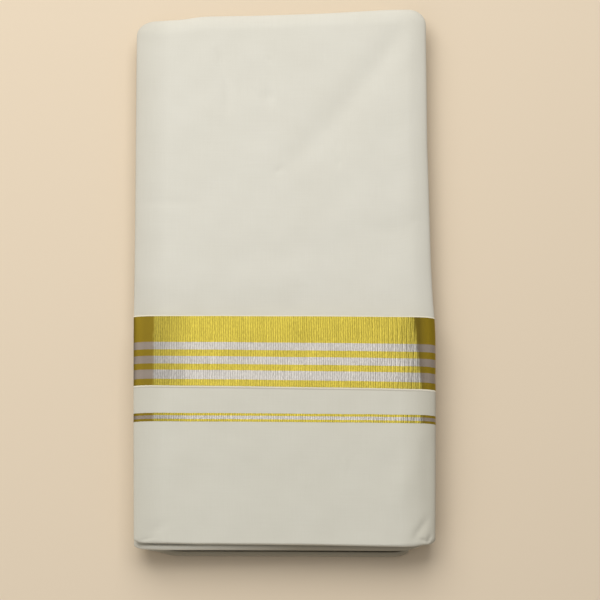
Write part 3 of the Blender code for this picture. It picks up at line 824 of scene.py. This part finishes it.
def join_plies(name, meshes):
    """Several sheets made into one piece, each thickened to a ply before."""
    plies = []
    for number, mesh in enumerate(meshes):
        ply = bpy.data.objects.new(f"{name}_{number}", mesh)
        scene.collection.objects.link(ply)
        add_ply(ply, INNER_PLY, 0)
        plies.append(ply)
    bpy.ops.object.select_all(action="DESELECT")
    for ply in plies:
        ply.select_set(True)
    bpy.context.view_layer.objects.active = plies[0]
    bpy.ops.object.convert(target="MESH")
    bpy.ops.object.join()
    joined = bpy.context.object
    joined.name = joined.data.name = name
    return joined


inner_plies = join_plies("selvage_plies", [
    sew_grid(f"selvage_ply_{number}", points, places)
    for number, (points, places) in enumerate(zip(rounds, round_threads))])
inner_plies.data.materials.append(zari_cloth)
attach(inner_plies, "root")


# ------------------------------------------------------------------------------------------------
# The plain front panel lies under the flap and shows above it up to the top fold. It is the same
# cotton. Its outermost ply turns under at the sides, makes the second of the bottom folds, and
# rolls more widely over the top.

PANEL_SPACES = 188  # grid spaces along its flat
PANEL_ROLLS = (
    Roll(along=-0.2040, left=0.0110, right=0.0085),
    Roll(along=-0.1800, left=0.0150, right=0.0128),
)
PANEL_FOOT_REACH = 0.0048
PANEL_HEAD_REACH = 0.0125
PANEL_LEFT = Fold(middle=0.0160, beyond=0.0028, start=2, turn=176)
PANEL_RIGHT = Fold(middle=0.0150, beyond=0.0028, start=52, turn=176)
PANEL_FOOT = Fold(middle=0.0180, beyond=0.0036, start=0, turn=176)
PANEL_HEAD = Fold(middle=0.0142, beyond=0.0062, start=24, turn=172)
FOOT_LIFT = 0.0010  # how much the second of the bottom folds is lifted
FOOT_TILT = 0.0012  # how much more it is at its left end, and less at its right
FOOT_TILT_HALF = 0.09  # how far from the middle that is reached
FOOT_LIFT_RISE = 5.0  # how many times sooner than the fold's end the lift is whole
PANEL_RELIEF = 0.000035  # how deep its weave is

# The panel's cotton gets painted shade along its side and bottom folds.
cotton_cloth, cotton_shader, weave, cotton_colour, cotton_height = weave_cotton(
    "cream_cotton_cloth", COTTON, COTTON_SHADE, PaintedShade(left=0.23, right=0.11, foot=0.84))
cotton_cloth.node_tree.links.new(cotton_colour, cotton_shader.inputs["Base Color"])
raise_weave(cotton_cloth.node_tree, cotton_shader, cotton_height, PANEL_RELIEF)

panel_stretch = Stretch(
    sides=SIDES, low=fold_line(ENDS, "second", even(PANEL_FOOT_REACH)),
    high=fold_line(ENDS, "head", even(-PANEL_HEAD_REACH)),
    left_reach=read_off(PANEL_ROLLS, "along", "left"),
    right_reach=read_off(PANEL_ROLLS, "along", "right"), low_reach=even(PANEL_FOOT_REACH),
    high_reach=even(PANEL_HEAD_REACH), left=PANEL_LEFT, right=PANEL_RIGHT, foot=PANEL_FOOT,
    head=PANEL_HEAD, top=PANEL_TOP, crown=CROWN, creases=PANEL_CREASES, up=1)
panel_cloth = lay_cloth(panel_stretch, FLAT_SPACES, PANEL_SPACES)
leftward = np.clip(-panel_cloth.points[..., 0] / FOOT_TILT_HALF, -1.0, 1.0)
round_foot = panel_cloth.foot * np.minimum(1.0, FOOT_LIFT_RISE * panel_cloth.turn)
panel_cloth.points[..., 2] += (FOOT_LIFT + FOOT_TILT * leftward) * round_foot
panel_mesh = sew_grid("front_panel_ply", panel_cloth.points, threads(panel_cloth.points, 0))
panel = place_piece("front_panel_ply", panel_mesh, cotton_cloth)
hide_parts("front_panel")


# ------------------------------------------------------------------------------------------------
# Between the panel and the underside lie the middle layers of the packet. Only their folded edges
# show, three plies one above another round the packet, pressed together and none quite in line.

EDGE_PLIES = 3
EDGE_STEPS = 9  # grid spaces round one ply's edge

# The lowest and the highest of these edges, and how far in from the packet's outline they lie.
Edge = namedtuple("Edge", "low high inset")
EDGE_SIDE = Edge(low=0.0079, high=0.0148, inset=0.0010)
EDGE_FOOT = Edge(low=0.0092, high=0.0140, inset=0.0042)
EDGE_HEAD = Edge(low=0.0074, high=0.0090, inset=0.0058)
EDGE_TUCK = 0.0060  # how far the highest ply is carried in under the panel
EDGE_UNDER = 0.0180  # and how far the lowest is over the underside
EDGE_BULGE = 0.0011  # how far an edge stands out from the groove beside it
EDGE_BLUNTNESS = 0.7  # lower for a blunter edge
HALF_PACKET = (0.107, 0.205)  # half its width and length, over which the edges are drawn in

# How the edges stray, up and down as a share of their height, and in and out: how far, how many
# radians to a metre round the packet, and how many from one ply to the next.
Stray = namedtuple("Stray", "size turns offset")
UP_AND_DOWN = (Stray(size=0.05, turns=17.0, offset=2.4), Stray(size=0.03, turns=43.0, offset=1.1))
IN_AND_OUT = (Stray(size=0.0004, turns=11.0, offset=1.9),
              Stray(size=0.0003, turns=31.0, offset=-2.0))


def rim(grid):
    """The outermost ring of a grid, once round from its first corner."""
    return np.concatenate([grid[:-1, 0], grid[-1, :-1], grid[:0:-1, -1], grid[0, :0:-1]])


ring = rim(panel_cloth.outline)
ring_foot, ring_head = rim(panel_cloth.foot), rim(panel_cloth.head)
girth = np.concatenate([[0.0], np.cumsum(np.linalg.norm(np.diff(ring[:, :2], axis=0), axis=1))])


def edge_size(name):
    """One size of the folded edges all round the packet."""
    side, foot, head = (getattr(edge, name) for edge in (EDGE_SIDE, EDGE_FOOT, EDGE_HEAD))
    return side + (foot - side) * ring_foot + (head - side) * ring_head


def straying(strays, ply):
    """How far a ply's edge strays all round the packet."""
    return sum(stray.size * np.sin(stray.turns * girth + stray.offset * ply) for stray in strays)


edge_low, edge_high = edge_size("low"), edge_size("high")
end_inset = np.where(ring[:, 1] < 0, EDGE_FOOT.inset, EDGE_HEAD.inset)

# The rows of the grid, from the underside up: how far up the edges each one lies, how far further
# in, and which ply it belongs to.
profile = [(0.0, EDGE_UNDER, 0)]
for ply in range(EDGE_PLIES):
    for step in range(EDGE_STEPS + 1):
        groove = 1 - math.sin(math.pi * step / EDGE_STEPS) ** EDGE_BLUNTNESS
        profile.append(((ply + step / EDGE_STEPS) / EDGE_PLIES, EDGE_BULGE * groove, ply))
profile.append((1.0, EDGE_TUCK, EDGE_PLIES - 1))
layers = []
for share, inset, ply in profile:
    moved = np.clip(share + straying(UP_AND_DOWN, ply) * math.sin(math.pi * share), 0.0, 1.0)
    height = edge_low + (edge_high - edge_low) * moved
    inset = inset + straying(IN_AND_OUT, ply)
    drawn_in = np.column_stack([EDGE_SIDE.inset + inset, end_inset + inset])
    place = ring[:, :2] * (1 - drawn_in / HALF_PACKET)
    layers.append(np.column_stack([place, height]))
edge_points = np.array(layers)
edge_points = np.concatenate([edge_points, edge_points[:, :1]], axis=1)
middle_mesh = sew_grid("middle_layer_edges", edge_points, threads(edge_points, 0), upward=False)
middle = place_piece("middle_layer_edges", middle_mesh, cotton_cloth)
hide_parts("folded_core")


# ------------------------------------------------------------------------------------------------
# The underside is the last stretch, flat where it lies and rolling up a little all round. Its
# bottom fold shows as the lowest of the three.

UNDER_SIDES = (
    Side(along=-0.2060, left=-0.0985, right=0.0877),
    Side(along=-0.1990, left=-0.0990, right=0.0880),
    Side(along=-0.1850, left=-0.1010, right=0.0975),
    Side(along=-0.1650, left=-0.1025, right=0.1020),
    Side(along=0.1700, left=-0.1040, right=0.1008),
    Side(along=0.2060, left=-0.1020, right=0.0990),
)
UnderEnd = namedtuple("UnderEnd", "across foot head")
UNDER_ENDS = (
    UnderEnd(across=-0.1000, foot=-0.2000, head=0.1915),
    UnderEnd(across=-0.0924, foot=-0.2021, head=0.1925),
    UnderEnd(across=-0.0854, foot=-0.2037, head=0.1945),
    UnderEnd(across=-0.0800, foot=-0.2055, head=0.1955),
    UnderEnd(across=-0.0740, foot=-0.2061, head=0.1965),
    UnderEnd(across=-0.0583, foot=-0.2061, head=0.1985),
    UnderEnd(across=0.0047, foot=-0.2063, head=0.2000),
    UnderEnd(across=0.0677, foot=-0.2068, head=0.2035),
    UnderEnd(across=0.1000, foot=-0.2066, head=0.2040),
)
UNDER_ACROSS = 110  # grid spaces over its flat
UNDER_ALONG = 120
UNDER_LEFT_REACH = 0.0080
UNDER_RIGHT_REACH = 0.0120
UNDER_FOOT_REACH = 0.0070
UNDER_HEAD_REACH = 0.0100
UNDER_SIDE = Fold(middle=0.0042, beyond=0.0036, start=0, turn=168)
UNDER_FOOT = Fold(middle=0.0048, beyond=0.0032, start=0, turn=168)
UNDER_HEAD = Fold(middle=0.0042, beyond=0.0032, start=0, turn=168)

under_stretch = Stretch(
    sides=UNDER_SIDES, low=fold_line(UNDER_ENDS, "foot", even(UNDER_FOOT_REACH)),
    high=fold_line(UNDER_ENDS, "head", even(-UNDER_HEAD_REACH)), left_reach=even(UNDER_LEFT_REACH),
    right_reach=even(UNDER_RIGHT_REACH), low_reach=even(UNDER_FOOT_REACH),
    high_reach=even(UNDER_HEAD_REACH), left=UNDER_SIDE, right=UNDER_SIDE, foot=UNDER_FOOT,
    head=UNDER_HEAD, top=0.0, crown=0.0, creases=(), up=-1)
under_cloth = lay_cloth(under_stretch, UNDER_ACROSS, UNDER_ALONG)
under_mesh = sew_grid("under_panel_ply", under_cloth.points, threads(under_cloth.points, 0),
                      upward=False)
under = place_piece("under_panel_ply", under_mesh, cotton_cloth)
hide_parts("under_panel")
